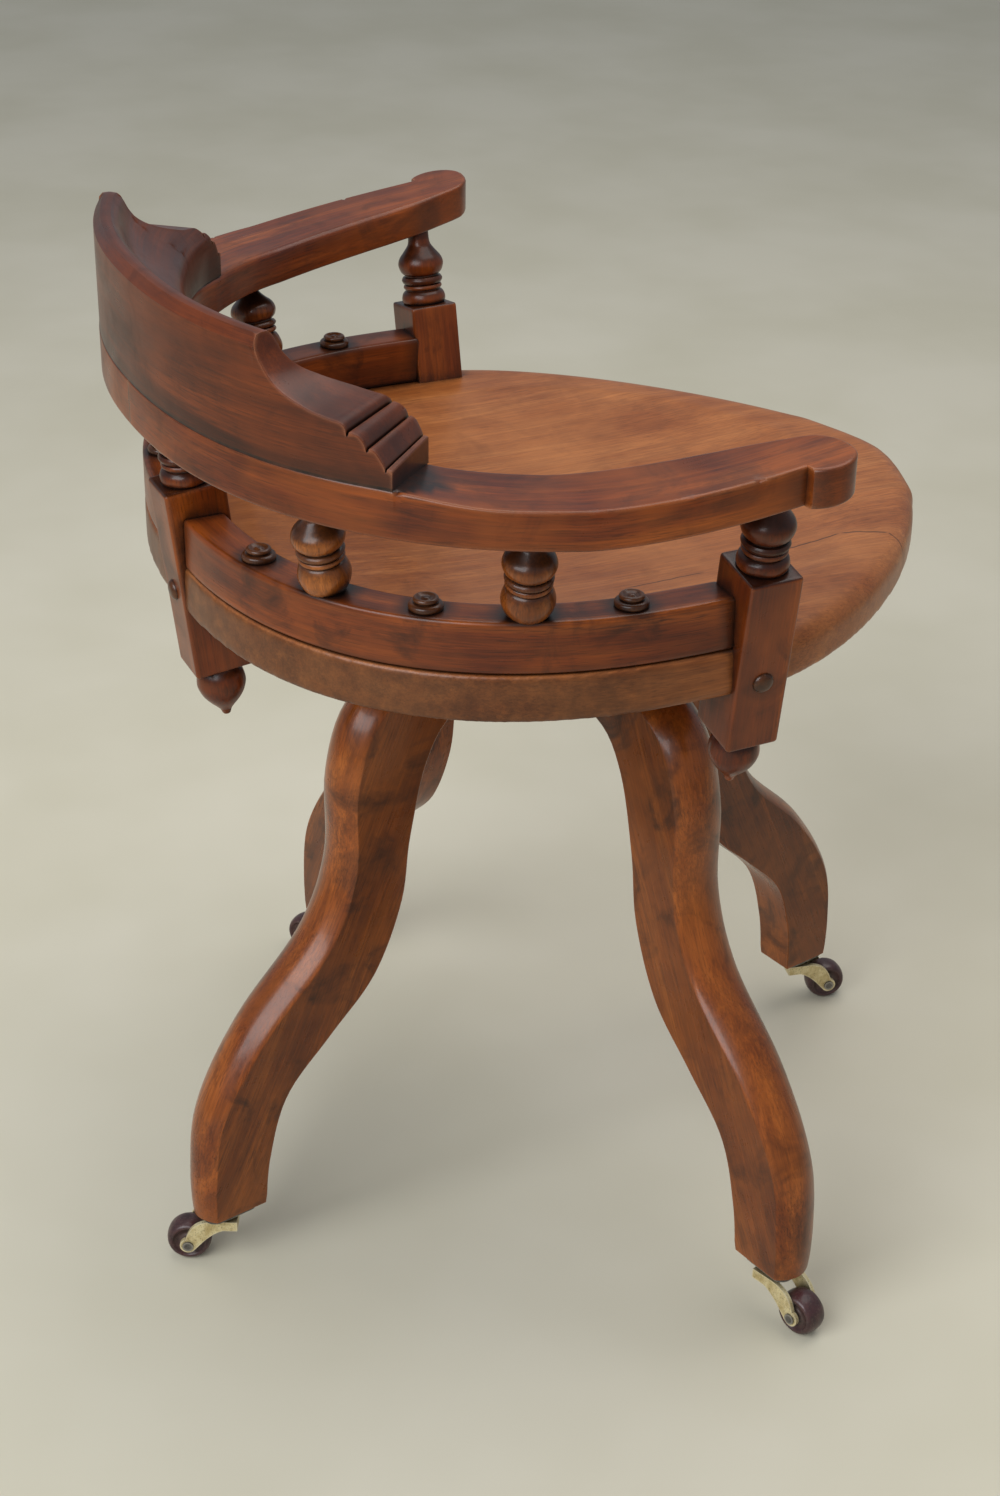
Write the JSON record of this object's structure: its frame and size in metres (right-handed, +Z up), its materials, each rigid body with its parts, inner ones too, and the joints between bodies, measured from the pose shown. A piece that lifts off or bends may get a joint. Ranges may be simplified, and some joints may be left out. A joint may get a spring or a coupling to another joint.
{
  "type": "swivel desk chair",
  "caption": "Wooden swivel desk chair with curved legs on casters, a dished seat, turned spindles, a horseshoe arm bow and a stepped crest rail.",
  "frame": {"origin": "on the floor, on the axis that the seat turns about", "axes": "+Z up, the sitter faces -Y, +X is the sitter's left"},
  "size_m": [0.6412, 0.6438, 0.746],
  "materials": {
    "seat_walnut": "polished, worn",
    "frame_walnut": "polished",
    "turned_walnut": "polished",
    "steel": "dark, worn",
    "cast_iron": "dark",
    "brass": "worn",
    "wheel": "glossy composition"
  },
  "bodies": {
    "base": {"base_hub": "frame_walnut", "hub_socket": "cast_iron", "socket_screws": "steel", "thrust_washer": "brass", "caster_screws": "steel", "leg_front": "frame_walnut", "leg_right": "frame_walnut", "leg_rear": "frame_walnut", "leg_left": "frame_walnut", "caster_plate_front": "steel", "caster_plate_right": "steel", "caster_plate_rear": "steel", "caster_plate_left": "steel"},
    "seat": {"seat_board": "seat_walnut", "gallery_rail_left": "frame_walnut", "gallery_rail_right": "frame_walnut", "post_front_left": "frame_walnut", "post_front_right": "frame_walnut", "post_back": "frame_walnut", "post_bolts": "steel", "post_plugs": "turned_walnut", "spindle_left_front": "turned_walnut", "spindle_left_back": "turned_walnut", "spindle_right_front": "turned_walnut", "spindle_right_back": "turned_walnut", "rail_buttons": "turned_walnut", "rail_screws": "steel", "arm_left": "frame_walnut", "arm_right": "frame_walnut", "crest_rail": "frame_walnut", "crest_screws": "steel", "seat_spider": "cast_iron", "seat_screws": "steel", "swivel_pivot": "steel", "retaining_washer": "steel", "cotter_pin": "steel"},
    "caster_front": {"caster_horn_front": "brass", "caster_axle_front": "steel"},
    "wheel_front": {"caster_wheel_front": "wheel"},
    "caster_right": {"caster_horn_right": "brass", "caster_axle_right": "steel"},
    "wheel_right": {"caster_wheel_right": "wheel"},
    "caster_rear": {"caster_horn_rear": "brass", "caster_axle_rear": "steel"},
    "wheel_rear": {"caster_wheel_rear": "wheel"},
    "caster_left": {"caster_horn_left": "brass", "caster_axle_left": "steel"},
    "wheel_left": {"caster_wheel_left": "wheel"}
  },
  "joints": [
    {"name": "seat_swivel", "type": "hinge", "parent": "base", "child": "seat", "pos_m": [0, 0, 0.47], "axis": [0, 0, 1], "continuous": true},
    {"name": "caster_swivel_front", "type": "hinge", "parent": "base", "child": "caster_front", "pos_m": [0.06168, -0.27824, 0.0435], "axis": [0, 0, 1], "continuous": true},
    {"name": "wheel_roll_front", "type": "hinge", "parent": "caster_front", "child": "wheel_front", "pos_m": [0.0561, -0.30568, 0.0165], "axis": [0.9799, -0.1994, 0], "continuous": true},
    {"name": "caster_swivel_right", "type": "hinge", "parent": "base", "child": "caster_right", "pos_m": [-0.27824, -0.06168, 0.0435], "axis": [0, 0, 1], "continuous": true},
    {"name": "wheel_roll_right", "type": "hinge", "parent": "caster_right", "child": "wheel_right", "pos_m": [-0.3048, -0.07057, 0.0165], "axis": [0.3173, -0.9483, 0], "continuous": true},
    {"name": "caster_swivel_rear", "type": "hinge", "parent": "base", "child": "caster_rear", "pos_m": [-0.06168, 0.27824, 0.0435], "axis": [0, 0, 1], "continuous": true},
    {"name": "wheel_roll_rear", "type": "hinge", "parent": "caster_rear", "child": "wheel_rear", "pos_m": [-0.04963, 0.30352, 0.0165], "axis": [-0.9026, 0.4305, 0], "continuous": true},
    {"name": "caster_swivel_left", "type": "hinge", "parent": "base", "child": "caster_left", "pos_m": [0.27824, 0.06168, 0.0435], "axis": [0, 0, 1], "continuous": true},
    {"name": "wheel_roll_left", "type": "hinge", "parent": "caster_left", "child": "wheel_left", "pos_m": [0.30186, 0.07673, 0.0165], "axis": [-0.5373, 0.8434, 0], "continuous": true}
  ]
}
